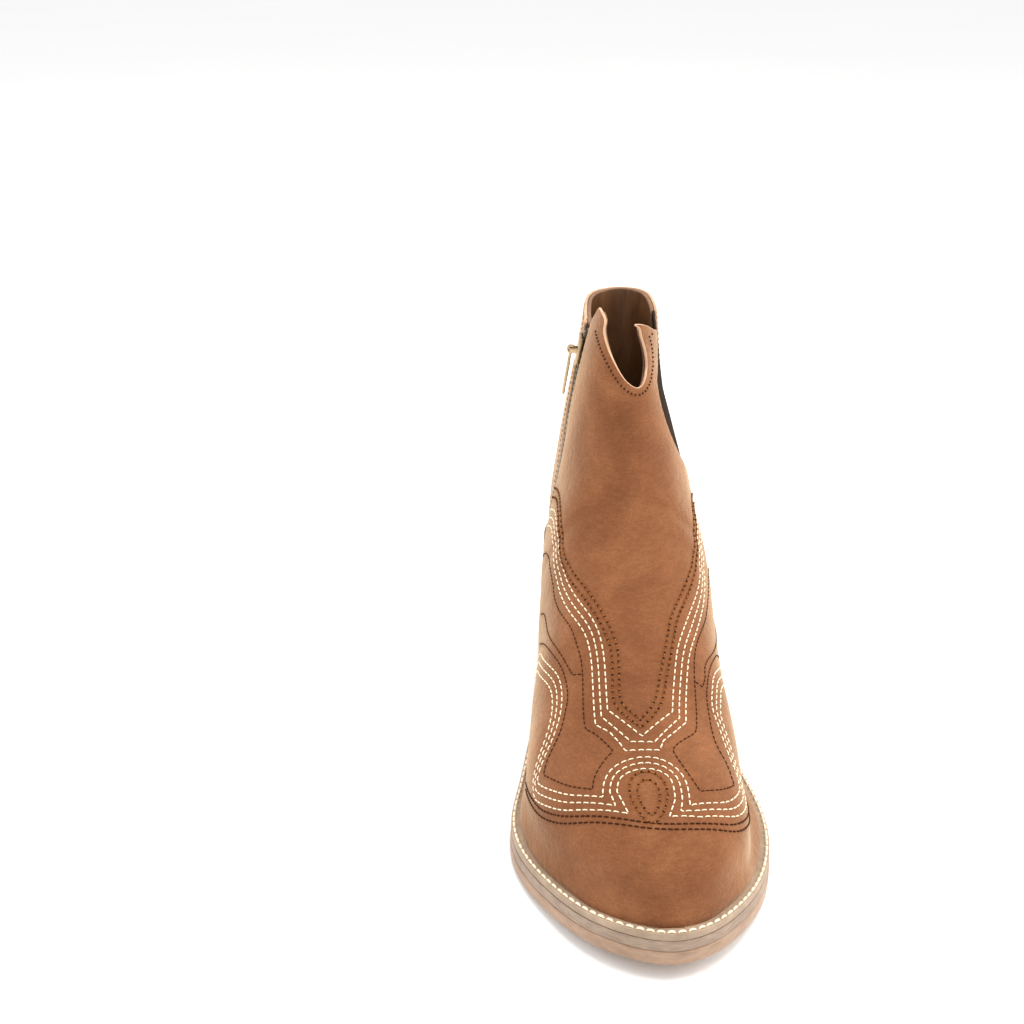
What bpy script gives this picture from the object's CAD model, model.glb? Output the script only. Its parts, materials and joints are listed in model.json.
"""Looks of a left suede cowboy ankle boot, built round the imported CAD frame.

Lengths are millimetres in the boot's own measure until a mesh is made: x across the foot, t forward
from the back of the heel, z up. place_xtz() turns them into the row frame in millimetres. The outer
surface is the CAD's: section p fans from the toe tip (0) to the top of the shaft (16), and g runs
along a section from the ridge (0) to the sole (1 lateral, -1 medial). On it the V is cut deeper, the
panels open further at the zip and the gore, and the leather is fuller over the welt than in the CAD.
"""
import json
import math
import random

import bmesh
import bpy
import numpy as np
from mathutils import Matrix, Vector

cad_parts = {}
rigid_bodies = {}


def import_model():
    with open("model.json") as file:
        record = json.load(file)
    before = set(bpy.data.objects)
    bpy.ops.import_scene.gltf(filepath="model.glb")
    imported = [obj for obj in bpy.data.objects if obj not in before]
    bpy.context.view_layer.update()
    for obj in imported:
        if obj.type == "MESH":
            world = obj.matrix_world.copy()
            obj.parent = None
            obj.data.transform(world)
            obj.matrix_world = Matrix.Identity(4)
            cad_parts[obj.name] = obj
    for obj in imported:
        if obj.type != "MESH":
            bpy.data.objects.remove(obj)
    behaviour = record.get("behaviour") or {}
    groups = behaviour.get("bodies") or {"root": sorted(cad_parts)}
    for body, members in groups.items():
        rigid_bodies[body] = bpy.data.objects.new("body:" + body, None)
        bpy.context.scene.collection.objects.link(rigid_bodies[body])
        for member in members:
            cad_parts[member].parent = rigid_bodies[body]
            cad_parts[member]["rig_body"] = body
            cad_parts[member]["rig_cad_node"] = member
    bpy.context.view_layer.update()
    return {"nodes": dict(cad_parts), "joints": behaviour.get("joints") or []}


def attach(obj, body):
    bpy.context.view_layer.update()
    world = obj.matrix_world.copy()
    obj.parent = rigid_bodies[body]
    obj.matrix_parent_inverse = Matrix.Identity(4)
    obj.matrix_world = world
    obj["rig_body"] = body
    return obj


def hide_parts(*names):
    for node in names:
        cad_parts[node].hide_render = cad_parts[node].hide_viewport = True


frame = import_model()
random.seed(7)
MM = 0.001

# ---- the boot's measure, as in the CAD
FEATHER_Z = [63.5, 61.5, 56.0, 42.0, 26.0, 15.5, 12.4, 13.2, 16.2, 20.5]  # every 30 mm of t
OUTLINE = [
    (3, 0), (6, 13), (14, 22.5), (30, 28.5), (55, 29), (85, 28.5), (115, 30.5), (145, 35.5), (168, 40.5),
    (188, 42.5), (212, 39.5), (232, 32), (246, 22.5), (255, 13), (258.5, 4), (255, -9), (245, -21.5),
    (230, -31.5), (210, -40.5), (190, -43.7), (168, -40.5), (145, -36), (115, -29.5), (85, -26), (55, -27),
    (30, -28), (14, -22.5), (6, -13),
]
RIDGE = [
    (258, 18.6), (254.5, 32), (245, 41), (229, 47.5), (208, 55), (184, 66), (162, 80.5), (145, 97),
    (133, 115), (126.5, 130), (123, 142), (120.5, 153), (118, 163), (115.5, 172), (113, 181), (110, 190),
    (107, 199),
]
FOOT_T = [258, 254.5, 245, 230, 210, 187, 160, 126, 84, 50, 24, 10, 5, 5, 4, 3, 2]
FOOT_HALF = [28.5, 28.2, 27, 24.5, 21.5, 19, 17, 15, 13]
BACK_T = [4.6, 3.2, 0.8, 2.4, 6.4, 7.6, 6.4, 4.4, 2.4]
WIDE_MEDIAL = [0, 11, 22, 33, 40, 42.5, 40.8, 37.2, 35.3, 31.4, 27.8, 25.2, 22.8, 20.5, 18.0, 15.2, 12.6]
WIDE_LATERAL = [
    0, 11.5, 22.5, 32, 36.8, 38.3, 38.0, 36.5, 34.6, 31.4, 28.0, 23.6, 19.2, 15.9, 13.5, 11.6, 10.2,
]
WAIST_AT = [.30, .30, .30, .28, .26, .25, .25, .26, .30, .36, .42, .46, .5, .5, .5, .5, .5]
FULLNESS = [.25, .25, .25, .22, .18, .12, .08, .05, .05, .05, .08, .1, .1, .1, .1, .1, .1]
HEEL_POWER = [4.0, 4.0, 4.0, 4.2, 4.6, 5.2, 5.8, 6.2, 6.4]
JOIN_T, TWIST, TWIST_T = 62.0, 0.08, 70.0
CENTRE_X, CENTRE_T = -0.6, 131.86
SUEDE_THICK = 1.2
TOP_MEDIAL = [
    (-20, 171.5), (20, 171.3), (50, 171.8), (76, 174.5), (87, 178), (93, 182.5), (98.5, 188.6), (110, 190),
    (135, 194),
]
TOP_LATERAL = [(-20, 171.5), (20, 171.3), (50, 171.3), (78, 173), (98, 177.5), (110, 183), (135, 189)]
V_NOTCH = [
    (-19, 197), (-17.3, 188.8), (-13.6, 186.8), (-10.8, 183.8), (-11.2, 180), (-10.2, 175), (-7.9, 170),
    (-4.2, 164.2), (-.4, 160.9), (2.3, 159.8), (4.6, 161), (6, 164.2), (6.3, 168.5), (5.2, 174),
    (3.7, 178.5), (2.7, 181.8), (1, 183.2), (2.6, 186), (6, 197),
]
MEDIAL_SEAM = [
    (78.5, 225), (78.2, 176), (76, 131), (74, 90), (77.5, 79), (85, 67), (92, 54), (95, 43), (96.5, 25),
]
LATERAL_SEAM = [
    (80, 225), (90, 172), (101, 158), (104.5, 141), (98, 125), (86, 112), (79, 98), (80, 84), (87, 66),
    (94, 49), (96.5, 25),
]
GORE_REAR = [
    (36, 225), (42, 172), (43, 145), (50, 124), (62, 108), (72, 96), (79, 83), (87, 66), (94, 49),
    (96.5, 25),
]
ZIP_TOP, ZIP_BOTTOM = (-17.8, 78.0, 172.0), (-30.6, 74.0, 90.0)
SLOT_HALF, TOOTH_PITCH = 5.0, 2.5
FRONT_MORE, REAR_MORE, GORE_MORE = 6.5, 1.5, 3.4     # extra opening at the zip and the gore
LINING_TOP, LINING_LOW = 2.2, 3.0                    # depths below the outer surface
P_STEP, G_STEPS = 0.05, 120                          # front grid: step of p, steps from ridge to sole


def spline(values, flat_start=False, flat_end=False):
    """Cubic spline through evenly spaced values, as a function of the step number."""
    v = np.array(values, float)
    n = len(v)
    m, r = np.zeros((n, n)), np.zeros(n)
    for i in range(1, n - 1):
        m[i, i - 1:i + 2] = 1, 4, 1
        r[i] = 3 * (v[i + 1] - v[i - 1])
    m[0, :2] = (1, 0) if flat_start else (2, 1)
    r[0] = 0 if flat_start else 3 * (v[1] - v[0])
    m[-1, -2:] = (0, 1) if flat_end else (1, 2)
    r[-1] = 0 if flat_end else 3 * (v[-1] - v[-2])
    d = np.linalg.solve(m, r)

    def at(s):
        i = np.clip(np.floor(s).astype(int), 0, n - 2)
        u = s - i
        a, b, p, q = v[i], v[i + 1], d[i], d[i + 1]
        return a + u * (p + u * (3 * (b - a) - 2 * p - q + u * (2 * (a - b) + p + q)))
    return at


def closed_spline(points, count=900):
    """Points along the smooth closed curve through some points, spaced by chord length."""
    q = np.array(points, float)
    n = len(q)
    h = np.linalg.norm(np.roll(q, -1, 0) - q, axis=1)
    m, r = np.zeros((n, n)), np.zeros((n, 2))
    for i in range(n):
        a, b, k, j = h[i - 1], h[i], (i - 1) % n, (i + 1) % n
        m[i, k] += b
        m[i, i] += 2 * (a + b)
        m[i, j] += a
        r[i] = 3 * (a * (q[j] - q[i]) / b + b * (q[i] - q[k]) / a)
    d = np.linalg.solve(m, r)
    out = []
    for i in range(n):
        j = (i + 1) % n
        u = np.arange(0, 1, n / count)[:, None]
        a, b, e, f = q[i], q[j], d[i] * h[i], d[j] * h[i]
        out.append(a + u * (e + u * (3 * (b - a) - 2 * e - f + u * (2 * (a - b) + e + f))))
    return np.concatenate(out)


def smooth_line(points, count=200):
    """Points along a smooth open line through some points."""
    q = np.array(points, float)
    s = np.linspace(0, len(q) - 1, count)
    return np.stack([spline(q[:, k])(s) for k in range(q.shape[1])], -1)


feather_track = spline(FEATHER_Z)


def feather(t):
    return feather_track(np.asarray(t, float) / 30)


outline = closed_spline(OUTLINE)            # (t, x)
toe_i, heel_i = int(outline[:, 0].argmax()), int(outline[:, 0].argmin())
outline = np.roll(outline, -heel_i, 0)
toe_i = int(outline[:, 0].argmax())
half_line = {1: outline[:toe_i + 1], -1: np.concatenate([outline[toe_i:], outline[:1]])[::-1]}
HEEL_T, TOE_T = outline[0, 0], outline[toe_i, 0]
ridge_t, ridge_z = spline([r[0] for r in RIDGE], True), spline([r[1] for r in RIDGE])
foot_t, foot_half = spline(FOOT_T, True), spline(FOOT_HALF)
back_t, heel_power = spline(BACK_T), spline(HEEL_POWER)
wide = {-1: spline(WIDE_MEDIAL), 1: spline(WIDE_LATERAL)}
waist_at, fullness = spline(WAIST_AT), spline(FULLNESS)


def outline_x(t, side):
    t = HEEL_T + (t - FOOT_T[-1]) * (TOE_T - HEEL_T) / (258.5 - FOOT_T[-1])
    return np.interp(t, half_line[side][:, 0], half_line[side][:, 1])


def twist(t, z):
    u = np.clip((z - 60) / 110, 0, 1)
    return TWIST * (TWIST_T - t) * u * u * (3 - 2 * u)


def sections(p, side, steps=60):
    """Half sections from the ridge to the sole edge, as (x, t, z) for each p."""
    tb = foot_t(p)
    s = np.maximum(p - 9, 0)
    zb = feather(tb) + 20 * s * s / (s + 0.7)
    xl, xm = outline_x(np.maximum(tb, 3), 1), outline_x(np.maximum(tb, 3), -1)
    k = np.clip(p - 8, 0, 1)
    foot = (xl - xm) / 2 * (1 - k) + foot_half(np.maximum(p - 8, 0)) * k
    centre = (xl + xm) / 2 * (1 - k) + k
    et, ez = ridge_t(p) - tb, ridge_z(p) - zb
    height = np.hypot(et, ez)
    et, ez = et / height, ez / height
    w = np.maximum(wide[side](p), .88 * foot)
    low, full = waist_at(p) * height, fullness(p)
    a = np.linspace(0, np.pi / 2, steps)[None]
    c, s = np.cos(a), np.sin(a)
    w, foot, low, full, height = (v[:, None] for v in (w, foot, low, full, height))
    above = w * s * (1 + full * c * c)
    below = foot + (w - foot) * c * c
    x = np.concatenate([above, below[:, 1:]], 1)
    h = np.concatenate([low + (height - low) * c, (low * (1 - s))[:, 1:]], 1)
    t, z = tb[:, None] + et[:, None] * h, zb[:, None] + ez[:, None] * h
    return np.stack([centre[:, None] + side * x + twist(t, z), t, z], -1)


def along(lines, fractions):
    """Points at fractions of the length of each line."""
    out = []
    for line in lines:
        s = run_of(line)
        out.append(np.stack([np.interp(fractions * s[-1], s, line[:, k]) for k in range(3)], -1))
    return np.array(out)


def run_of(line):
    """Distance travelled at each point of a line."""
    return np.r_[0, np.cumsum(np.linalg.norm(np.diff(line, axis=0), axis=1))]


def unit(v, least=1e-9):
    """Vectors scaled to a length of one."""
    return v / np.maximum(np.linalg.norm(v, axis=-1, keepdims=True), least)


def place_xtz(q):
    """(x, t, z) to the row frame, in millimetres."""
    q = np.asarray(q, float)
    return np.stack([q[..., 0] - CENTRE_X, CENTRE_T - q[..., 1], q[..., 2]], -1)


def grid_normals(q, sign):
    n = np.cross(np.gradient(q, axis=0), np.gradient(q, axis=1)) * sign
    return unit(n, 1e-12)


def relief(q):
    """Soft waves of the leather, in millimetres outward, as a function of place."""
    x, t, z = q[..., 0], q[..., 1], q[..., 2]
    ankle = np.exp(-((t - 120) ** 2 + (z - 105) ** 2) / 900)
    low = np.exp(-((z - feather(t) - 1) / 6) ** 2) * np.clip((t - 80) / 60, 0, 1)
    wave = .22 * np.sin(x / 9 + t / 17 + 1) * np.sin(t / 11 - z / 14) + 1.9 * low
    crease = -.55 * ankle * np.exp(-((t - .55 * z - 66) / 3.2) ** 2)
    crease += -.4 * ankle * np.exp(-((t - .45 * z - 90 + x / 10) / 3) ** 2)
    return wave + .12 * np.sin(x / 4.3 - z / 6.1) * np.sin(t / 5.7) + crease


# the front surface, a grid over p and g
front_p = np.arange(0.02, 16.0001, P_STEP)
front_g = np.linspace(0, 1, G_STEPS + 1)
left, right = (along(sections(front_p, side), front_g) for side in (-1, 1))
front_xtz = np.concatenate([left[:, ::-1], right[:, 1:]], 1)
front_normals = grid_normals(place_xtz(front_xtz), 1)
if front_normals[100, G_STEPS, 2] < 0:
    front_normals *= -1
tip, low_g = int(.4 / P_STEP), np.abs(np.linspace(-1, 1, 2 * G_STEPS + 1)) > .7
front_normals[:tip, low_g] = front_normals[tip, low_g]     # the sections meet at the toe tip
girth = {side: np.linalg.norm(np.diff(rows, axis=1), axis=2).sum(1)
         for side, rows in ((-1, left), (1, right))}
ridge_run = run_of(front_xtz[:, G_STEPS])

# the side walls, a grid over z and the way round to the back seam
WALL_Z = np.arange(36.0, 190.01, 0.8)
WALL_T = np.linspace(118, JOIN_T, 72)


def wall_grid(side):
    dense_p = np.arange(4.0, 16.0001, 0.03)
    lines = sections(dense_p, side, 90)
    out = []
    for z in WALL_Z:
        ts, xs = [], []
        for line in lines:
            ts.append(np.interp(-z, -line[:, 2], line[:, 1]))
            xs.append(np.interp(-z, -line[:, 2], line[:, 0]))
        ts, xs = np.array(ts), np.array(xs)
        order = np.argsort(ts)
        ts, xs = ts[order], xs[order]
        x_at = lambda t: np.interp(t, ts, xs)
        bare = lambda t: x_at(t) - twist(t, z)
        slope = (bare(JOIN_T + 2.5) - bare(JOIN_T - 2.5)) / 5
        a = np.linspace(0, np.pi / 2, 90)[1:]
        k = (min(z, 187) - 40) / 20
        u = np.sin(a) ** (2 / heel_power(np.float64(k)))
        t = JOIN_T - (JOIN_T - back_t(np.float64(k))) * u
        x = bare(JOIN_T) * np.cos(a) + slope * (t - JOIN_T) * (1 - u) ** 2 + twist(t, z)
        row_t, row_x = np.r_[WALL_T, t], np.r_[x_at(WALL_T), x]
        out.append(np.stack([row_x, row_t, np.full(len(row_t), z)], -1))
    q = np.array(out)
    for i in range(len(WALL_T) - 8, len(WALL_T) + 8):     # ease the join of the two constructions
        q[:, i, 0] = .5 * q[:, i, 0] + .25 * (q[:, i - 1, 0] + q[:, i + 1, 0])
    return q


walls = {side: wall_grid(side) for side in (-1, 1)}
wall_normals = {side: grid_normals(place_xtz(walls[side]), 1) for side in (-1, 1)}
for side in (-1, 1):
    if wall_normals[side][60, 60, 0] * side < 0:
        wall_normals[side] *= -1


# ---- seams and edges
# A field is a distance in millimetres that is positive inside a panel.
def line_at(points, key, value, count=400):
    q = smooth_line(points, count)
    order = np.argsort(q[:, key])
    return lambda s: np.interp(s, q[order, key], q[order, value])


lower_t = line_at(MEDIAL_SEAM, 1, 0)
lateral_t, gore_t = line_at(LATERAL_SEAM, 1, 0), line_at(GORE_REAR, 1, 0)
top_line = {-1: line_at(TOP_MEDIAL, 0, 1), 1: line_at(TOP_LATERAL, 0, 1)}


def medial_t(z):
    k = (z - ZIP_BOTTOM[2]) / (ZIP_TOP[2] - ZIP_BOTTOM[2])
    return np.where(z < ZIP_BOTTOM[2], lower_t(z), ZIP_BOTTOM[1] + (ZIP_TOP[1] - ZIP_BOTTOM[1]) * k)


def slot(z, half=SLOT_HALF):
    u = np.clip((z - ZIP_BOTTOM[2] + 13) / 8, 0, 1)
    return .25 + (half - .25) * u * u * (3 - 2 * u)


notch = smooth_line(V_NOTCH, 160)


def v_field(q):
    """Distance outside the V at the front, measured straight from the front."""
    x, z = q[..., 0], q[..., 2]
    flat = np.stack([x, z], -1).reshape(-1, 1, 2)
    a, b = notch[:-1], notch[1:]
    d = b - a
    k = np.clip(((flat - a) * d).sum(-1) / (d * d).sum(-1), 0, 1)
    far = np.linalg.norm(flat - (a + k[..., None] * d), axis=-1).min(1)
    lo, hi = notch[:, 1].argmin(), len(notch) - 1
    left_x = np.interp(flat[:, 0, 1], notch[:lo + 1][::-1, 1], notch[:lo + 1][::-1, 0])
    right_x = np.interp(flat[:, 0, 1], notch[lo:, 1], notch[lo:, 0])
    inside = (flat[:, 0, 0] > left_x) & (flat[:, 0, 0] < right_x) & (flat[:, 0, 1] > notch[lo, 1])
    return np.where(inside, -far, far).reshape(x.shape)


def top_field(q):
    x, t, z = q[..., 0], q[..., 1], q[..., 2]
    return np.where(x < 0, top_line[-1](t), top_line[1](t)) - z


def front_field(q, slot_half=SLOT_HALF):
    x, t, z = q[..., 0], q[..., 1], q[..., 2]
    open_by = np.clip((z - 88) / 14, 0, 1)
    seam = np.where(x < 0, medial_t(z) + slot(z, slot_half) + FRONT_MORE * open_by,
                    lateral_t(z) + .25 + GORE_MORE * np.clip((z - 100) / 14, 0, 1))
    f = np.minimum(t - seam, top_field(q))
    high = z > 150
    out = f.copy()
    out[high] = np.minimum(f[high], v_field(q[high]))
    return out


def quarter_field(q, side, slot_half=SLOT_HALF):
    t, z = q[..., 1], q[..., 2]
    open_by = REAR_MORE * np.clip((z - 88) / 14, 0, 1)
    seam = medial_t(z) - slot(z, slot_half) - open_by if side < 0 else gore_t(z) - .25
    return np.minimum(np.minimum(seam - t, z - feather(t) - .1), top_line[side](t) - z)


# ---- mesh helpers
def clipped(points, field, facing):
    """Faces of a grid where the field is positive, cut cleanly along its zero line."""
    rows, cols = field.shape
    flat, f = points.reshape(-1, 3), field.reshape(-1)
    index, verts, faces = {}, [], []

    def vertex(key, value):
        if key not in index:
            index[key] = len(verts)
            verts.append(value)
        return index[key]
    for i in range(rows - 1):
        for j in range(cols - 1):
            quad = [i * cols + j, (i + 1) * cols + j, (i + 1) * cols + j + 1, i * cols + j + 1]
            values = [f[k] for k in quad]
            if max(values) <= 0:
                continue
            if min(values) > 0:
                faces.append([vertex(k, flat[k]) for k in quad])
                continue
            loop = []
            for a, b in zip(quad, quad[1:] + quad[:1]):
                if f[a] > 0:
                    loop.append(vertex(a, flat[a]))
                if (f[a] > 0) != (f[b] > 0):
                    lo, hi = min(a, b), max(a, b)
                    u = f[lo] / (f[lo] - f[hi])
                    loop.append(vertex((lo, hi), flat[lo] + (flat[hi] - flat[lo]) * u))
            if len(loop) > 2:
                faces.append(loop)
    if not facing:
        faces = [face[::-1] for face in faces]
    return np.array(verts), faces


def make(name, verts, faces, materials, picks=None):
    """Smooth mesh object from row-frame millimetres that rides on the boot."""
    mesh = bpy.data.meshes.new(name)
    mesh.from_pydata((np.asarray(verts) * MM).tolist(), [], [list(map(int, face)) for face in faces])
    for m in materials:
        mesh.materials.append(m)
    if picks is not None:
        mesh.polygons.foreach_set("material_index", np.array(picks, np.int32))
    mesh.polygons.foreach_set("use_smooth", np.full(len(mesh.polygons), True))
    mesh.validate()
    obj = bpy.data.objects.new(name, mesh)
    bpy.context.scene.collection.objects.link(obj)
    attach(obj, "boot")
    return obj


def faced_outward(obj, merge=0.0):
    """Turns all faces outward, after merging points closer than a distance in millimetres."""
    bm = bmesh.new()
    bm.from_mesh(obj.data)
    if merge:
        bmesh.ops.remove_doubles(bm, verts=bm.verts, dist=merge * MM)
    bmesh.ops.recalc_face_normals(bm, faces=bm.faces)
    bm.to_mesh(obj.data)
    bm.free()
    return obj


def corner_normals(verts, faces):
    n = np.zeros_like(verts)
    for face in faces:
        a, b, c = verts[face[0]], verts[face[1]], verts[face[2]]
        n[face] += np.cross(b - a, c - a)
    return unit(n, 1e-12)


def layer(name, verts, faces, outer, inner, materials, round_by=.6):
    """A sheet of leather between two depths below a surface, with a rounded cut edge."""
    count = len(verts)
    normal = corner_normals(verts, faces)
    outer = np.broadcast_to(outer, count)[:, None]
    used = {}
    for face in faces:
        for a, b in zip(face, face[1:] + face[:1]):
            used[(a, b)] = used.get((a, b), 0) + 1
    rim = [(a, b) for a, b in used if (b, a) not in used]
    away = np.zeros_like(verts)
    for a, b in rim:
        d = np.cross(verts[b] - verts[a], normal[a])
        length = np.linalg.norm(d)
        if length > 1e-9:
            away[a] += d / length
            away[b] += d / length
    away = unit(away)
    half = (inner - outer) / 2
    edge = sorted({k for pair in rim for k in pair})
    new_verts = [verts - normal * outer, verts - normal * inner]
    loops = {}
    start = 2 * count
    for step, angle in enumerate((40, 90, 140)):
        a = math.radians(angle)
        depth = (outer + half * (1 - math.cos(a)))[edge]
        loops[step] = {k: start + i for i, k in enumerate(edge)}
        bulge = away[edge] * half[edge] * round_by * math.sin(a)
        new_verts.append(verts[edge] - normal[edge] * depth + bulge)
        start += len(edge)
    new_faces = [list(face) for face in faces] + [[k + count for k in face[::-1]] for face in faces]
    picks = [0] * len(faces) + [2 if len(materials) > 2 else 0] * len(faces)
    chain = [{k: k for k in edge}, loops[0], loops[1], loops[2], {k: k + count for k in edge}]
    for a, b in rim:
        for one, two in zip(chain, chain[1:]):
            new_faces.append([one[b], one[a], two[a], two[b]])
            picks.append(1)
    return make(name, np.concatenate(new_verts), new_faces, materials, picks=picks)


# ---- materials
def node_tree(name):
    m = bpy.data.materials.new(name)
    m.use_nodes = True
    tree = m.node_tree
    shader = tree.nodes["Principled BSDF"]
    return m, tree, shader


def adjust(node, **values):
    """Sets a node's own sockets; an underscore stands for a space."""
    for socket, value in values.items():
        node.inputs[socket.replace("_", " ")].default_value = value


def measure(tree, stretch=(1, 1, 1)):
    """Object coordinates in millimetres, stretched."""
    coords = tree.nodes.new("ShaderNodeTexCoord")
    mapping = tree.nodes.new("ShaderNodeMapping")
    adjust(mapping, Scale=[1000 * s for s in stretch])
    tree.links.new(coords.outputs["Object"], mapping.inputs["Vector"])
    return mapping.outputs["Vector"]


def noise(tree, vector, scale, detail=4, rough=.55, warp=0.0):
    n = tree.nodes.new("ShaderNodeTexNoise")
    adjust(n, Scale=scale, Detail=detail, Roughness=rough, Distortion=warp)
    tree.links.new(vector, n.inputs["Vector"])
    return n.outputs["Fac"]


def ramp(tree, fac, stops):
    r = tree.nodes.new("ShaderNodeValToRGB")
    r.color_ramp.elements[0].position, r.color_ramp.elements[-1].position = stops[0][0], stops[-1][0]
    for place, _ in stops[1:-1]:
        r.color_ramp.elements.new(place)
    for element, (place, colour) in zip(r.color_ramp.elements, stops):
        element.position = place
        element.color = (*colour, 1)
    tree.links.new(fac, r.inputs["Fac"])
    return r.outputs["Color"]


def mixed(tree, a, b, fac, kind="MIX"):
    """Mix of two colours; fac is a number or a socket."""
    m = tree.nodes.new("ShaderNodeMix")
    m.data_type, m.blend_type = "RGBA", kind
    for socket, value in ((m.inputs[0], fac), (m.inputs[6], a), (m.inputs[7], b)):
        if isinstance(value, (int, float)):
            socket.default_value = value
        elif isinstance(value, tuple):
            socket.default_value = (*value, 1)
        else:
            tree.links.new(value, socket)
    return m.outputs[2]


def darkened(tree, tone, fac, low, high, weight):
    """A colour multiplied by a ramp; low and high are (place on the ramp, factor)."""
    return mixed(tree, tone, ramp(tree, fac, [low, high]), weight, "MULTIPLY")


def bump(tree, shader, height, strength, distance_mm, under=None):
    b = tree.nodes.new("ShaderNodeBump")
    adjust(b, Strength=strength, Distance=distance_mm * MM)
    tree.links.new(height, b.inputs["Height"])
    if under is not None:
        tree.links.new(under, b.inputs["Normal"])
    tree.links.new(b.outputs["Normal"], shader.inputs["Normal"])
    return b.outputs["Normal"]


def suede(name, dark, middle, light, nap=.35):
    m, tree, shader = node_tree(name)
    v = measure(tree)
    cloud = ramp(tree, noise(tree, v, .035, 4, .6, .6), [(.30, dark), (.52, middle), (.74, light)])
    brushed = noise(tree, measure(tree, (1, .35, 2.2)), .16, 6, .7, .4)
    tone = mixed(tree, cloud, light, ramp(tree, brushed, [(.50, (0, 0, 0)), (.80, (.3, .3, .3))]))
    strokes = noise(tree, measure(tree, (.3, .3, 1.5)), 1.0, 3, .6, .5)
    tone = darkened(tree, tone, strokes, (.35, (.86, .84, .82)), (.65, (1.08, 1.08, 1.07)), .7)
    fine = noise(tree, v, 1.3, 5, .75)
    tone = darkened(tree, tone, fine, (.28, (.66, .62, .58)), (.7, (1.2, 1.18, 1.15)), .7)
    tree.links.new(tone, shader.inputs["Base Color"])
    adjust(shader, Roughness=.95, Specular_IOR_Level=.15, Sheen_Weight=.75, Sheen_Roughness=.35,
           Sheen_Tint=(1, .80, .55, 1))
    first = bump(tree, shader, noise(tree, v, .35, 4, .6), .25, 1.2)
    bump(tree, shader, fine, nap, .35, first)
    return m


def leather(name, dark, light, rough=.5, grain=.9, strength=.3, coat=0.0, stretch=(1, 1, 1)):
    m, tree, shader = node_tree(name)
    v = measure(tree, stretch)
    tone = ramp(tree, noise(tree, v, .12, 5, .6, .5), [(.32, dark), (.68, light)])
    tree.links.new(tone, shader.inputs["Base Color"])
    adjust(shader, Roughness=rough, Coat_Weight=coat)
    bump(tree, shader, noise(tree, v, grain, 5, .6), strength, .25)
    return m


def stacked(name, dark, light, line, pitch, rough=.55):
    """Cut edge of stacked leather: fine level lines over mottled leather."""
    m, tree, shader = node_tree(name)
    v = measure(tree, (.25, .25, 1))
    fibres = noise(tree, v, pitch, 6, .7, .3)
    tone = ramp(tree, fibres, [(.30, line), (.45, dark), (.70, light)])
    cloud = noise(tree, measure(tree), .06, 3, .5)
    tone = darkened(tree, tone, cloud, (.35, (.84, .80, .78)), (.7, (1.06, 1.05, 1.04)), .8)
    tree.links.new(tone, shader.inputs["Base Color"])
    adjust(shader, Roughness=rough)
    bump(tree, shader, fibres, .25, .25)
    return m


def plain(name, colour, rough, metal=0.0, vary=.12, grain=.8, strength=.1, spread=.12):
    m, tree, shader = node_tree(name)
    v = measure(tree)
    dark = tuple(c * (1 - vary) for c in colour)
    light = tuple(min(c * (1 + vary), 1) for c in colour)
    tone = ramp(tree, noise(tree, v, spread, 4), [(.35, dark), (.65, light)])
    tree.links.new(tone, shader.inputs["Base Color"])
    adjust(shader, Roughness=rough, Metallic=metal, Specular_IOR_Level=.5 if metal else .12)
    bump(tree, shader, noise(tree, v, grain, 4), strength, .15)
    return m


def ribbed(name, dark, light, pitch, axis):
    """Woven or ribbed cloth with ribs of a given pitch across one axis."""
    m, tree, shader = node_tree(name)
    wave = tree.nodes.new("ShaderNodeTexWave")
    wave.wave_type, wave.bands_direction = "BANDS", axis
    adjust(wave, Scale=.314 / pitch, Distortion=.35)
    tree.links.new(measure(tree), wave.inputs["Vector"])
    tree.links.new(ramp(tree, wave.outputs["Fac"], [(.1, dark), (.9, light)]), shader.inputs["Base Color"])
    adjust(shader, Roughness=1.0, Specular_IOR_Level=.08)
    bump(tree, shader, wave.outputs["Fac"], .6, .4)
    return m


SUEDE = suede("suede", (.165, .060, .024), (.205, .079, .033), (.275, .113, .049))
SUEDE_BACK = leather("suede_back", (.20, .10, .05), (.30, .16, .08), .9)
RAW_EDGE = leather("raw_edge", (.46, .27, .16), (.62, .40, .26), .9, 2.0, .5)
LINING = leather("lining_leather", (.085, .034, .012), (.17, .075, .028), .42, .5, .35, .1, (1, 1, .25))
LINING_EDGE = leather("lining_edge", (.16, .08, .04), (.24, .12, .06), .7)
THREAD_PALE = plain("thread_pale", (.86, .74, .55), .6, 0, .1, 3.0, .4, .8)
THREAD_DARK = plain("thread_dark", (.050, .015, .005), 1.0, 0, .2, 3.0, .4, .8)
THREAD_AMBER = plain("thread_amber", (.25, .088, .024), .9, 0, .2, 3.0, .4, .8)
HOLE = plain("needle_hole", (.045, .016, .007), .9)
MIDSOLE = stacked("midsole_edge", (.27, .190, .135), (.36, .270, .200), (.20, .130, .085), .9)
OUTSOLE = stacked("outsole_edge", (.31, .190, .118), (.41, .270, .180), (.24, .145, .085), .5, .42)
TREAD = leather("outsole_tread", (.30, .19, .12), (.42, .28, .19), .6)
WELT = leather("welt_leather", (.26, .180, .120), (.38, .275, .190), .6, 1.2, .4)
HEEL = stacked("heel_stack", (.27, .165, .095), (.42, .275, .170), (.17, .095, .050), .8)
RUBBER = plain("heel_rubber", (.030, .022, .018), .75)
ELASTIC = ribbed("elastic", (.014, .007, .004), (.035, .019, .011), 1.1, "Y")
TAPE = ribbed("zip_tape_cloth", (.028, .014, .008), (.070, .040, .024), .7, "Z")
TOOTH = plain("zip_tooth_metal", (.22, .165, .115), .42, .85, .25)
GOLD = plain("slider_metal", (.46, .33, .19), .28, 1.0, .08)
STEEL = plain("steel", (.55, .55, .56), .35, 1.0, .06)
BOARD = plain("fibreboard", (.33, .24, .14), .9)
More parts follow.
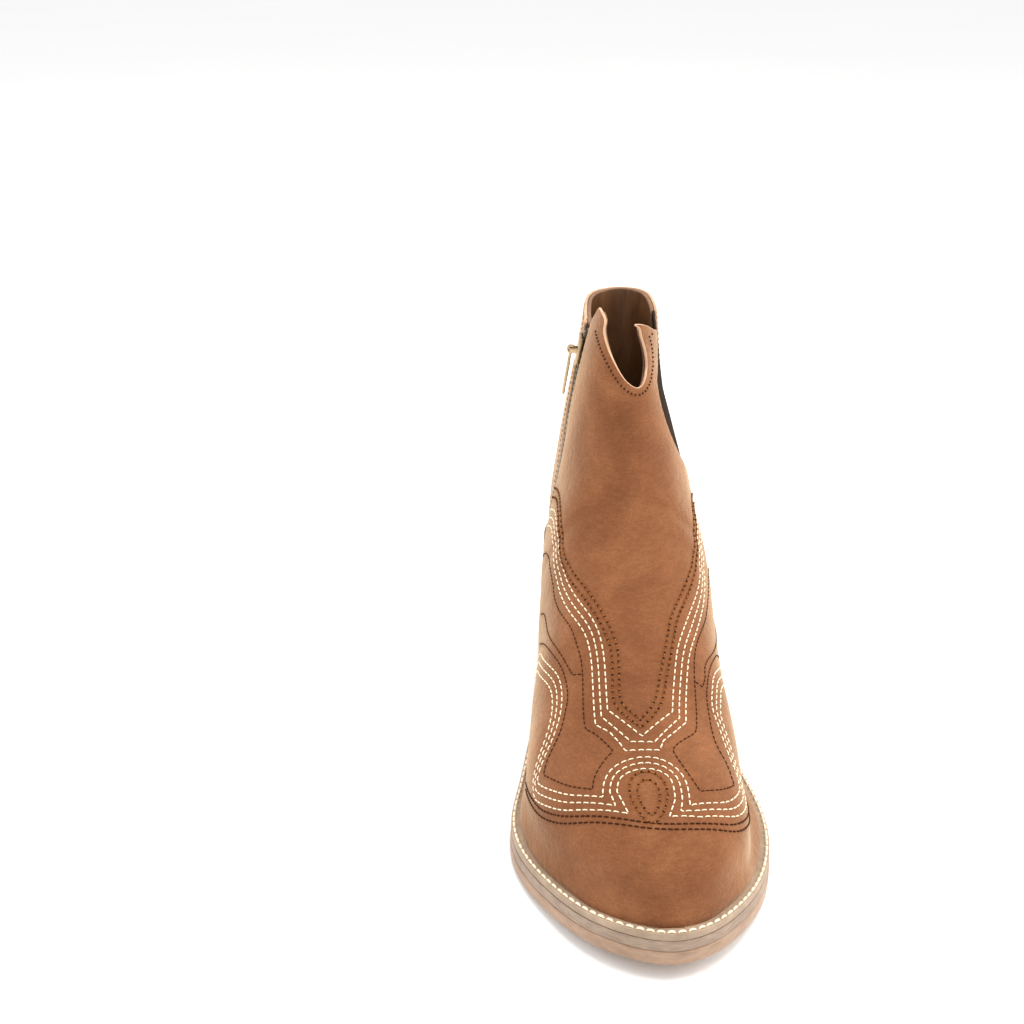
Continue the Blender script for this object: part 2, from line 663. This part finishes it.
STIFF = plain("stiffener_sheet", (.55, .50, .42), .6)
CORK = plain("cork", (.32, .19, .09), .95, 0, .35, .5, .6)
FOAM = plain("foam", (.62, .55, .42), .95)

# ---- upper
lifted_front = place_xtz(front_xtz) + front_normals * relief(front_xtz)[..., None]
corner = lifted_front[100, G_STEPS]
front_up = np.cross(lifted_front[101, G_STEPS] - corner, lifted_front[100, G_STEPS + 1] - corner)[2] > 0
lifted_wall, wall_facing = {}, {}
for side in (-1, 1):
    lifted_wall[side] = place_xtz(walls[side]) + wall_normals[side] * relief(walls[side])[..., None]
    q = lifted_wall[side]
    wall_facing[side] = np.cross(q[61, 60] - q[60, 60], q[60, 61] - q[60, 60])[0] * side > 0

front_field_grid = front_field(front_xtz)
verts, faces = clipped(lifted_front, front_field_grid, front_up)
front_panel = layer("suede_front", verts, faces, 0, SUEDE_THICK, [SUEDE, RAW_EDGE, SUEDE_BACK])
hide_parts("front_panel")
inner_field = np.minimum(front_field(front_xtz, SLOT_HALF + .6) - 1.0, top_field(front_xtz) - .3)
verts, faces = clipped(lifted_front, inner_field, front_up)
lining_front = layer("lining_front_skin", verts, faces, LINING_TOP, LINING_LOW,
                     [LINING, LINING_EDGE, LINING])
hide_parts("lining_front")
for side, word in ((-1, "medial"), (1, "lateral")):
    verts, faces = clipped(lifted_wall[side], quarter_field(walls[side], side), wall_facing[side])
    quarter = layer("suede_quarter_" + word, verts, faces, 0, SUEDE_THICK, [SUEDE, RAW_EDGE, SUEDE_BACK])
    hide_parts("quarter_" + word)
    to_rim = top_line[side](walls[side][..., 1]) - walls[side][..., 2]
    inner = np.minimum(quarter_field(walls[side], side, SLOT_HALF + .6), to_rim - .3)
    verts, faces = clipped(lifted_wall[side], inner, wall_facing[side])
    below_rim = top_line[side](CENTRE_T - verts[:, 1]) - verts[:, 2]
    meets_suede = .92 * np.clip(1.3 - below_rim / 3, 0, 1)
    skin = layer("lining_%s_skin" % word, verts, faces, LINING_TOP - meets_suede, LINING_LOW,
                 [LINING, LINING_EDGE, LINING])
    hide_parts("lining_" + word)

q = walls[1]
gore_field = np.minimum(np.minimum(lateral_t(q[..., 2]) + 6 - q[..., 1], q[..., 1] - gore_t(q[..., 2]) + 6),
                        np.minimum(q[..., 2] - 93, top_line[1](q[..., 1]) - q[..., 2] - 1))
verts, faces = clipped(lifted_wall[1], gore_field, wall_facing[1])
gore = layer("elastic_gore", verts, faces, 1.35, 2.05, [ELASTIC])
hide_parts("gore_elastic")

# back stay: a strip over the back seam
STAY_T = 7.8
strip = []
for k in range(len(WALL_Z)):
    if not 68 <= WALL_Z[k] <= 170.8:
        continue
    rows = []
    for side in (1, -1):
        q, n = walls[side][k], wall_normals[side][k]
        pick = q[:, 1] < STAY_T + 3
        edge = place_xtz(q[pick]) + n[pick] * relief(q[pick])[:, None]
        s = np.interp(-np.linspace(STAY_T, q[-1, 1], 14), -q[pick][:, 1], np.arange(pick.sum()))
        rows.append(np.stack([np.interp(s, np.arange(pick.sum()), edge[:, c]) for c in range(3)], -1))
    strip.append(np.concatenate([rows[0], rows[1][:-1][::-1]]))
strip = np.array(strip)
stay_facing = np.cross(strip[31, 12] - strip[30, 12], strip[30, 13] - strip[30, 12])[1] > 0
verts, faces = clipped(strip, np.ones(strip.shape[:2]), stay_facing)
stay = layer("suede_back_stay", verts, faces, -1.0, 0.0, [SUEDE, RAW_EDGE, SUEDE_BACK])
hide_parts("back_stay")


# ---- stitching on the front panel
def front_place(a, b):
    """Row-frame points, normals and panel field at ridge distances a and girth distances b."""
    a, b = np.asarray(a, float), np.asarray(b, float)
    row = np.interp(a, ridge_run, np.arange(len(front_p)))
    half = np.where(b < 0, np.interp(row, np.arange(len(front_p)), girth[-1]),
                    np.interp(row, np.arange(len(front_p)), girth[1]))
    col = np.clip(G_STEPS + b / half * G_STEPS, 0, 2 * G_STEPS - .001)
    i, j = np.minimum(row.astype(int), len(front_p) - 2), col.astype(int)
    u, v = (row - i)[:, None], (col - j)[:, None]

    def blend(grid):
        return ((grid[i, j] * (1 - u) + grid[i + 1, j] * u) * (1 - v)
                + (grid[i, j + 1] * (1 - u) + grid[i + 1, j + 1] * u) * v)
    return blend(lifted_front), unit(blend(front_normals)), blend(front_field_grid[..., None])[:, 0]


def resample(points, step=.4):
    """Even points along a line."""
    q = np.asarray(points, float)
    s = run_of(q)
    k = np.linspace(0, s[-1], max(int(s[-1] / step), 2))
    return np.stack([np.interp(k, s, q[:, c]) for c in range(q.shape[1])], -1)


def rounded(points, keep_corners=()):
    """Smooth line through points, except that it stays sharp at some of them."""
    marks = [0, *sorted(keep_corners), len(points) - 1]
    out = []
    for lo, hi in zip(marks, marks[1:]):
        piece = points[lo:hi + 1]
        out.append(smooth_line(piece, 24 * (len(piece) - 1)) if len(piece) > 2 else np.array(piece, float))
    return resample(np.concatenate(out))


def beside(line, distance):
    """Line parallel to another in the flat, to its left when positive."""
    d = unit(np.gradient(line, axis=0))
    return line + np.stack([-d[:, 1], d[:, 0]], -1) * distance


class Threads:
    """Collects stitches into one mesh per thread."""

    def __init__(self):
        self.verts, self.faces = [], []

    def stitch(self, points, normals, radius):
        """One stitch along a short line: a rounded thread that dives in at both ends."""
        sides, rise = 6, .35
        m = len(points)
        base = len(self.verts)
        across = unit(np.cross(normals, unit(np.gradient(points, axis=0))))
        k = np.linspace(0, 1, m)
        lift = radius * (-1.1 + 1.5 * np.sin(np.pi * k) ** .35) + rise * radius
        thick = radius * (.6 + .4 * np.sin(np.pi * k) ** .4)
        for q, n, c, up, r in zip(points, normals, across, lift, thick):
            for i in range(sides):
                a = 2 * math.pi * i / sides
                self.verts.append(q + n * (up + r * math.sin(a) * .85) + c * r * math.cos(a))
        for j in range(m - 1):
            for i in range(sides):
                a, b = base + j * sides + i, base + j * sides + (i + 1) % sides
                self.faces.append([a, b, b + sides, a + sides])
        self.faces.append([base + i for i in range(sides)][::-1])
        self.faces.append([base + (m - 1) * sides + i for i in range(sides)])

    def run(self, points, normals, keep, pitch, length, radius, slant=0.0, segments=6):
        """Stitches along a line of even points, where keep is true."""
        s = run_of(points)
        count = max(int(round(s[-1] / pitch)), 1)
        for i in range(count):
            mid = (i + .5) * s[-1] / count
            k = np.linspace(mid - length / 2, mid + length / 2, segments)
            k = np.clip(k + random.uniform(-.06, .06) * pitch, 0, s[-1])
            if np.interp(mid, s, keep) < .99:
                continue
            q = np.stack([np.interp(k, s, points[:, c]) for c in range(3)], -1)
            n = np.stack([np.interp(k, s, normals[:, c]) for c in range(3)], -1)
            if slant:
                d = np.cross(n[2], q[-1] - q[0])
                q = q + d / np.linalg.norm(d) * slant * np.linspace(-.5, .5, segments)[:, None] * (-1) ** i
            self.stitch(q, n, radius)

    def flat(self, line, pitch, length, radius, slant=0.0):
        """Stitches along a line in the front panel's flat measure, where it is 1 mm inside the panel."""
        points, normals, inside = front_place(line[:, 0], line[:, 1])
        self.run(points, normals, (inside > 1.0).astype(float), pitch, length, radius, slant)

    def done(self, name, material):
        make(name, self.verts, self.faces, [material])


# each line is (distance back along the ridge from the toe, girth distance from the ridge)
TONGUE_M = [
    (178, -64), (175, -53), (170, -45.5), (160, -41), (145, -33), (127, -22.5), (115, -19), (103, -18.2),
    (86, -18.2), (80.5, -18),
]
TONGUE_L = [
    (80.5, 15.2), (86, 15.8), (103, 18.3), (117, 22.2), (135, 32), (150, 40), (162, 43), (169, 48),
    (173, 56), (175, 66),
]
TONGUE_FOOT = [
    (80.5, -18), (76, -13.2), (71, -10.3), (67, -8.5), (66.3, 3.6), (70.5, 5.5), (75, 10.2), (80.5, 15.2),
]
TONGUE_FOOT_MID = [(83, -15.4), (70.6, -6), (69.8, 2.2), (82, 13)]
TONGUE_FOOT_IN = [(85, -12.6), (72.6, -1.8), (84, 10.4)]
CHAIN_M = [(186, -62), (182, -48), (172, -38.5), (157, -33.4), (138, -20.5), (121, -13), (108, -10.4),
           (92, -10.8), (84, -8.5), (76.3, -1.9)]
CHAIN_L = [(76.3, -1.9), (84, 5), (92, 8.2), (101, 10.2), (121, 15.5), (135, 22.2), (157, 34), (171, 40),
           (180, 50), (184, 64)]
OUTER_M = [(170, -66), (168, -56), (163, -48), (154, -42), (145, -37.4), (131, -28), (120.5, -24.5),
           (106, -22.3), (84, -22.3), (78, -19.6), (69.5, -13.8), (66.5, -14.3), (60, -19.8), (53.8, -22)]
FIELD_M = [(53.8, -22), (60.5, -31.3), (73.5, -42)]
ARC_M = [(73.5, -42), (77.5, -39.3), (84, -32.8), (92.5, -29.8), (100.5, -28.9), (117, -33.4),
         (135.5, -46), (146, -62)]
OUTER_L = [(166, 68), (163, 57), (158, 50), (150, 45), (135, 35), (118, 24.6), (100, 21.4), (81.5, 19.5),
           (75, 16.2), (69, 9.8), (65, 9), (59, 11.8), (50.5, 15.6)]
FIELD_L = [(50.5, 15.6), (55, 25), (61.7, 32.4)]
ARC_L = [(61.7, 32.4), (70.5, 30.4), (77.5, 26.8), (90.5, 26.2), (99.5, 27), (108.5, 29.6), (117, 33.6),
         (128, 43), (135, 53.5)]
HOOK_M = [(154, -62), (150, -53), (142.4, -47), (127.7, -36.3), (115, -30), (107.2, -26.6), (105.2, -22.6)]
HOOK_L = [(156, 70), (145, 57), (119.5, 33), (108.3, 27.8), (101.3, 25.2), (101.6, 21.7)]
WING_M = [(143, -66), (140, -57), (133, -48.8), (117, -36.8), (104.3, -32), (93.5, -32), (84, -36.3),
          (78.5, -43), (75.5, -46.5), (70, -43.6), (59.2, -34.2), (53.2, -26.3), (49.3, -18.8)]
SHOE = [(49.3, -18.8), (55, -17.6), (60, -14.2), (62.8, -8.3), (63.5, -1.8), (62, 4.4), (58.2, 9.1),
        (52.3, 11.1), (43.6, 10.8)]
WING_L = [
    (43.6, 10.8), (47.1, 20.3), (52, 28), (60.7, 34.8), (66, 37), (70.8, 36.8), (75.5, 34), (85.4, 31.2),
    (92.4, 29), (98.4, 29.3), (106, 31.4), (117, 37.3), (131, 52), (138, 60), (142, 70),
]
LOW = [(95, -66), (86.4, -60.6), (70.8, -51.7), (60, -44.1), (50, -33.9), (43, -22), (37.8, -10),
       (35.3, 2.9), (39, 21), (47, 33), (60, 43.5), (76, 54)]
DROP_CENTRE, DROP_HALF = (46.6, -2.8), (10.8, 6.8)
ROW_GAP = 2.5
SHOE_FEET = [((49.3, -18.8), (43.4, 10.9)), ((44.6, -14.8), (40.7, 7.3)), ((40.6, -10.7), (38.3, 3.1))]
# kinds of stitch: pitch, length, thread radius and, where it zigzags, the zigzag's width
PALE, SEAM_DARK, LOW_DARK, EDGE_DARK = (2.9, 2.25, .27), (2.1, 1.9, .24), (2.3, 2.1, .32), (2.4, 1.9, .17)
CHAIN_AMBER, DROP_AMBER = (1.4, 1.3, .34, .7), (1.45, 1.35, .32, .8)
CHAIN_HOLES, DROP_HOLES, V_HOLES = (2.5, .95, .45), (2.5, .85, .40), (1.75, .85, .40)
WELT_PITCH, WELT_STITCH, WELT_THREAD = 3.6, 3.0, .5
CHAIN_FROM = 79.4                        # the inner chain row starts behind the V of the outer one

pale, dark, amber, holes = Threads(), Threads(), Threads(), Threads()
tongue_m, tongue_l = rounded(TONGUE_M), rounded(TONGUE_L)
for k, foot in enumerate((TONGUE_FOOT, TONGUE_FOOT_MID, TONGUE_FOOT_IN)):
    near_m = beside(tongue_m, -ROW_GAP * k)
    near_l = beside(tongue_l, -ROW_GAP * k)
    near_m = near_m[near_m[:, 0] > foot[0][0]]
    near_l = near_l[near_l[:, 0] > foot[-1][0]]
    pale.flat(resample(np.concatenate([near_m, np.array(foot, float), near_l])), *PALE)
chain = rounded(CHAIN_M + CHAIN_L[1:], [len(CHAIN_M) - 1])
for k in (0, 1):
    line = resample(beside(chain, -ROW_GAP * k))
    if k:
        line = line[line[:, 0] > CHAIN_FROM]
    amber.flat(line, *CHAIN_AMBER)
    holes.flat(line, *CHAIN_HOLES)
for points, corners in ((OUTER_M, []), (OUTER_L, []), (FIELD_M, []), (FIELD_L, []),
                        (ARC_M, []), (ARC_L, []), (HOOK_M, [5]), (HOOK_L, [4])):
    dark.flat(rounded(points, corners), *SEAM_DARK)
wing_m, shoe, wing_l = rounded(WING_M), rounded(SHOE), rounded(WING_L)
for k, (foot_m, foot_l) in enumerate(SHOE_FEET):
    m_row, shoe_row, l_row = (beside(line, ROW_GAP * k) for line in (wing_m, shoe, wing_l))
    line = np.concatenate([m_row[:-4], [foot_m], shoe_row[4:-4], [foot_l], l_row[4:]])
    pale.flat(resample(line), *PALE)
for scale in (1.0, .58):
    a = np.linspace(0, 2 * np.pi, 90)
    drop = np.stack([DROP_CENTRE[0] + DROP_HALF[0] * (.25 + .75 * scale) * np.cos(a),
                     DROP_CENTRE[1] + DROP_HALF[1] * scale * np.sin(a) * (.92 + .28 * np.cos(a))], -1)
    drop = resample(drop)
    amber.flat(drop, *DROP_AMBER)
    holes.flat(drop, *DROP_HOLES)
for distance in (0, 2.1):
    dark.flat(resample(beside(rounded(LOW), distance)), *LOW_DARK)

surfaces = {
    "front": (lifted_front, front_normals),
    "medial": (lifted_wall[-1], wall_normals[-1]),
    "lateral": (lifted_wall[1], wall_normals[1]),
}


def edge_row(threads, surface, field, inset, wanted, pitch, length, radius):
    """Stitches a set distance inside a panel's cut edges, at the places that are wanted."""
    grid, directions = surfaces[surface]
    near_points, near_normals = grid.reshape(-1, 3)[::3], directions.reshape(-1, 3)[::3]
    verts, faces = clipped(grid, field - inset, True)
    edges = dict.fromkeys((a, b) for face in faces for a, b in zip(face, face[1:] + face[:1]))
    follow = {a: b for a, b in edges if (b, a) not in edges}
    seen = set()
    for first in list(follow):
        if first in seen:
            continue
        loop, k = [], first
        while k in follow and k not in seen:
            seen.add(k)
            loop.append(k)
            k = follow[k]
        if len(loop) < 20:
            continue
        q = verts[loop]
        near = np.array([np.linalg.norm(near_points - p, axis=1).argmin() for p in q[::6]])
        n = np.repeat(near_normals[near], 6, axis=0)[:len(q)]
        keep = np.array([wanted(p) for p in q], float)
        threads.run(q, n, keep, pitch, length, radius)


def beside_v(p):
    """True round the V, up to a little below its two points."""
    highest = 181 if p[0] < 0 else 178
    return 152 < p[2] < highest and CENTRE_T - p[1] > 100 and -16 < p[0] < 9.8


def above_sole(p):
    return p[2] > feather(CENTRE_T - p[1]) + 4


edge_row(holes, "front", front_field_grid, 2.4, beside_v, *V_HOLES)
for side, word in ((-1, "medial"), (1, "lateral")):
    edge_row(dark, word, quarter_field(walls[side], side), 1.8, above_sole, *EDGE_DARK)
pale.done("stitches_pale", THREAD_PALE)
dark.done("stitches_dark", THREAD_DARK)
amber.done("stitches_amber", THREAD_AMBER)
holes.done("needle_holes", HOLE)


# ---- welt and soles
def rise(start, end, t0, t1):
    def at(t):
        u = np.clip((t - t0) / (t1 - t0), 0, 1)
        return start + (end - start) * u * u * (3 - 2 * u)
    return at


welt_out = rise(1.4, 5.2, 78, 145)
sole_out = rise(1.6, 5.6, 78, 145)
mid_low = rise(4.9, 7.2, 75, 150)
out_low = rise(8.6, 12.34, 75, 150)
tangent = np.roll(outline, -1, 0) - np.roll(outline, 1, 0)
outward = unit(np.stack([-tangent[:, 1], tangent[:, 0]], -1))
if (outward * (outline - outline.mean(0))).sum() < 0:
    outward *= -1


def sole_ring(offset):
    """Closed line (t, x) at an offset outside the feather outline."""
    return outline + outward * offset(outline[:, 0])[:, None]


def sole_part(name, top, low, offset, material, soft, t_from=-20.0, t_to=300.0, bottom=None, across=24):
    """A plate that follows the sole's curve, with edges softened by a radius.

    top and low give its depths below the feather, and offset its reach outside the feather outline.
    """
    ring = sole_ring(offset)
    lateral, medial = ring[:toe_i + 1], np.concatenate([ring[toe_i:], ring[:1]])[::-1]
    stations = np.linspace(0, 1, 260)
    sides = []
    for line in (lateral, medial):
        s = run_of(line)
        sides.append(np.stack([np.interp(stations * s[-1], s, line[:, c]) for c in range(2)], -1))
    inside = (sides[0][:, 0] >= t_from) & (sides[0][:, 0] <= t_to)
    sides = [s[inside] for s in sides]
    profile = []                         # (outward, down, part of the way from top to low)
    for k in range(6):
        a = math.pi / 2 * k / 5
        profile.append((-soft * (1 - math.sin(a)), soft * (1 - math.cos(a)), 0))
    for k in range(1, 4):
        profile.append((0, 0, k / 4))
    for k in range(6):
        a = math.pi / 2 * k / 5
        profile.append((-soft * (1 - math.cos(a)), -soft * (1 - math.sin(a)), 1))
    count = len(sides[0])
    verts, faces, picks, columns = [], [], [], []
    centre = (sides[0] + sides[1]) / 2

    def shrink(line, amount):
        d = centre - line
        length = np.maximum(np.linalg.norm(d, axis=1, keepdims=True), 1e-6)
        return line + d / length * np.minimum(amount, length * .98)

    def depth(t, part):
        if part == 0:
            return top(t)
        if part == 1:
            return low(t)
        return top(t) + soft + (low(t) - top(t) - 2 * soft) * part

    def add(line, part, down=0):
        t, x = line[:, 0], line[:, 1]
        z = feather(t) - (depth(t, part) + down)
        start = len(verts)
        verts.extend(place_xtz(np.stack([x, t, z], -1)))
        columns.append(list(range(start, start + count)))
    # lateral edge, bottom, medial edge, top: one loop of columns round the plate
    for edge, other, outline_part, rows in ((0, 1, 1, profile), (1, 0, 0, profile[::-1])):
        for reach, down, part in rows:
            add(shrink(sides[edge], -reach), part, down)
        a, b = shrink(sides[edge], soft), shrink(sides[other], soft)
        for k in range(1, across):
            add(a + (b - a) * (k / across), outline_part)
    m = len(columns)
    bottom_columns = range(len(profile) - 1, len(profile) + across - 1)
    for j in range(m):
        one, two = columns[j], columns[(j + 1) % m]
        for i in range(count - 1):
            faces.append([one[i], one[i + 1], two[i + 1], two[i]])
            picks.append(1 if bottom is not None and j in bottom_columns else 0)
    faces.append([c[0] for c in columns])
    faces.append([c[-1] for c in columns][::-1])
    picks += [0, 0]
    materials = [material] + ([bottom] if bottom is not None else [])
    return faced_outward(make(name, verts, faces, materials, picks), .02)


def deep(value):
    return lambda t: np.full(np.shape(t), float(value))


BREAST_T = 71.0                          # front face of the heel, where the welt meets the heel seat
welt = sole_part("welt_strip", deep(.1), deep(2.9), welt_out, WELT, .7, t_from=BREAST_T + 1)
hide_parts("welt")
seat = sole_part("heel_seat_edge", deep(.1), deep(2.9), welt_out, WELT, .5, t_to=BREAST_T + .7)
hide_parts("heel_seat")
midsole = sole_part("midsole_plate", deep(3.0), mid_low, lambda t: sole_out(t) - .3, MIDSOLE, .35)
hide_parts("midsole")
outsole = sole_part("outsole_plate", lambda t: mid_low(t) + .1, out_low, sole_out, OUTSOLE, .9,
                    bottom=TREAD)
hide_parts("outsole")

# stitches along the welt, from the heel round the toe and back
stitched_from = BREAST_T + 6
ring = sole_ring(lambda t: welt_out(t) - 1.15)
ring = np.roll(ring, -int(np.argmax(ring[:, 0] <= stitched_from)), 0)
ring = resample(ring[ring[:, 0] > stitched_from])
line = place_xtz(np.stack([ring[:, 1], ring[:, 0], feather(ring[:, 0]) - .1], -1))
welting = Threads()
slope = np.gradient(feather(np.arange(0, 300.0)))
lean = np.interp(ring[:, 0], np.arange(0, 300.0), slope)
up = unit(np.stack([np.zeros(len(ring)), lean, np.ones(len(ring))], -1))
welting.run(line, up, np.ones(len(ring)), WELT_PITCH, WELT_STITCH, WELT_THREAD, segments=8)
make("welt_stitches", welting.verts, welting.faces, [THREAD_PALE])

# ---- zip
joints = {j["name"]: j for j in frame["joints"]}
up_zip = -Vector(joints["zip_slide"]["axis"])
fore_zip = -Vector(joints["pull_swing"]["axis"])
out_zip = up_zip.cross(fore_zip)
if out_zip.x > 0:
    out_zip = -out_zip
ZIP_LENGTH = math.dist(ZIP_TOP, ZIP_BOTTOM)
SLIDER_AT = ZIP_LENGTH / 2 - 8.0
zip_origin = Vector(joints["pull_swing"]["pos_m"]) / MM - out_zip * 4.9 - up_zip * (SLIDER_AT - .6)


def zp(s, n, d):
    return np.array(zip_origin + fore_zip * s + out_zip * n + up_zip * d)


def zip_block(s0, s1, n0, n1, d0, d1):
    """Corners and faces of a box in the zip's own directions."""
    corners = [zp(s, n, d) for d in (d0, d1) for s, n in ((s0, n0), (s1, n0), (s1, n1), (s0, n1))]
    return corners, [[0, 1, 2, 3], [7, 6, 5, 4], [0, 4, 5, 1], [1, 5, 6, 2], [2, 6, 7, 3], [3, 7, 4, 0]]


def soften(obj, width):
    """Rounds the edges sharper than 40 degrees for good."""
    bm = bmesh.new()
    bm.from_mesh(obj.data)
    bmesh.ops.remove_doubles(bm, verts=bm.verts, dist=.005 * MM)
    bmesh.ops.dissolve_limit(bm, angle_limit=math.radians(1), verts=bm.verts, edges=bm.edges)
    bmesh.ops.recalc_face_normals(bm, faces=bm.faces)
    edges = [e for e in bm.edges if len(e.link_faces) == 2 and e.calc_face_angle(0) > math.radians(40)]
    bmesh.ops.bevel(bm, geom=edges, offset=width * MM, segments=3, affect="EDGES", profile=.5,
                    clamp_overlap=True)
    for f in bm.faces:
        f.smooth = True
    bm.to_mesh(obj.data)
    bm.free()
    return obj


TEETH_TOP, TEETH_LOW, TOOTH_LONG = SLIDER_AT - .6, -ZIP_LENGTH / 2 + 2.0, 1.1
TAPE_FROM, TAPE_TO = -ZIP_LENGTH / 2 - 1.5, ZIP_LENGTH / 2 + 1.0
TAPE_HALF_SHAPE = [(1.5, .0), (1.6, .36), (1.9, .46), (2.3, .36), (2.7, .28), (4, .26), (9.6, .22), (9.7, 0)]
TAPE_SHAPE = TAPE_HALF_SHAPE + [(s, -n) for s, n in TAPE_HALF_SHAPE[-2:0:-1]]
for word, side in (("front", 1), ("rear", -1)):
    verts, faces = [], []
    d = TEETH_TOP - TOOTH_LONG - (0 if side > 0 else TOOTH_PITCH / 2)
    while d > TEETH_LOW:
        for block in ((-.7 * side, 1.6 * side, -.95, .95, d, d + TOOTH_LONG),
                      (1.5 * side, 2.9 * side, -1.05, 1.05, d - .08, d + TOOTH_LONG + .08)):
            corners, quads = zip_block(*block)
            base = len(verts)
            verts += corners
            faces += [[k + base for k in quad] for quad in quads]
        d -= TOOTH_PITCH
    teeth = soften(make("teeth_" + word, verts, faces, [TOOTH]), .22)
    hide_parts("zip_teeth_" + word)
    # woven tape with a bead along its inner edge
    verts, faces = [], []
    rows = np.linspace(TAPE_FROM, TAPE_TO, 90)
    for d in rows:
        verts += [zp(s * side, n - .022 * max(s - 3.4, 0) ** 2, d) for s, n in TAPE_SHAPE]
    m = len(TAPE_SHAPE)
    for i in range(len(rows) - 1):
        for j in range(m):
            faces.append([i * m + j, i * m + (j + 1) % m, (i + 1) * m + (j + 1) % m, (i + 1) * m + j])
    faces += [list(range(m)), [len(verts) - 1 - k for k in range(m)]]
    tape = faced_outward(make("tape_" + word, verts, faces, [TAPE]))
    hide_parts("zip_tape_" + word)


def polished(node, name, material, body, width):
    """A CAD node's own shape with its edges rounded."""
    source = frame["nodes"][node]
    copy = source.copy()
    copy.data = source.data.copy()
    copy.name = name
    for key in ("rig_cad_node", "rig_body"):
        if key in copy:
            del copy[key]
    copy.data.materials.clear()
    copy.data.materials.append(material)
    copy.parent = None
    bpy.context.scene.collection.objects.link(copy)
    soften(copy, width)
    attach(copy, body)
    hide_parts(node)


polished("zip_slider", "slider_shell", GOLD, "slider", .3)
polished("zip_pull", "pull_tab_shell", GOLD, "pull_tab", .25)
polished("zip_bottom_stop", "bottom_stop_shell", TOOTH, "boot", .2)

# ---- CAD nodes that are shown as they are
shown = {
    "zip_top_stops": TOOTH, "sock_lining": LINING, "insole_board": BOARD, "heel_pad": FOAM, "shank": STEEL,
    "heel_nails": STEEL, "heel_screw": STEEL, "top_piece_pins": STEEL, "forepart_filler": CORK,
    "heel_counter": STIFF, "toe_puff": STIFF, "top_piece": RUBBER, "heel_wedge": HEEL,
}
shown.update(("heel_lift_%d" % k, HEEL) for k in range(1, 7))
for node, material in shown.items():
    mesh = frame["nodes"][node].data
    mesh.materials.clear()
    mesh.materials.append(material)

# ---- floor, light, camera
bpy.ops.mesh.primitive_plane_add(size=60, location=(0, 0, -.0002))
floor = bpy.context.object
floor.name = "floor"
floor_material, tree, shader = node_tree("floor_white")
tone = ramp(tree, noise(tree, measure(tree), .002, 2), [(.3, (.955, .955, .955)), (.7, (.965, .965, .965))])
tree.links.new(tone, shader.inputs["Base Color"])
adjust(shader, Roughness=.9)
floor.data.materials.append(floor_material)


def lamp(name, place, target, size, power, colour=(1, 1, 1)):
    light = bpy.data.lights.new(name, "AREA")
    light.shape, light.size, light.energy, light.color = "DISK", size, power, colour
    obj = bpy.data.objects.new(name, light)
    obj.location = place
    obj.rotation_euler = (Vector(target) - Vector(place)).to_track_quat("-Z", "Y").to_euler()
    bpy.context.scene.collection.objects.link(obj)


lamp("key", (.2, -.15, 1.5), (0, 0, .08), 1.0, 17, (1, .97, .92))
lamp("left_fill", (-1.2, .1, .7), (0, 0, .08), .9, 7)
lamp("right_fill", (1.2, .1, .6), (0, 0, .08), .9, 12, (1, .98, .94))
world = bpy.context.scene.world or bpy.data.worlds.new("world")
bpy.context.scene.world = world
world.use_nodes = True
background = world.node_tree.nodes["Background"]
adjust(background, Color=(1, 1, 1, 1), Strength=.98)

CAMERA_AT = Vector((-.0597, -.5061, .3308))
CAMERA_LOOK = Vector((.0241, .9195, -.3923))
camera = bpy.data.cameras.new("camera")
camera.lens, camera.sensor_width, camera.clip_start = 50, 36, .01
camera_obj = bpy.data.objects.new("camera", camera)
camera_obj.location = CAMERA_AT
camera_obj.rotation_euler = CAMERA_LOOK.to_track_quat("-Z", "Y").to_euler()
bpy.context.scene.collection.objects.link(camera_obj)
bpy.context.scene.camera = camera_obj
bpy.context.scene.view_settings.view_transform = "Standard"
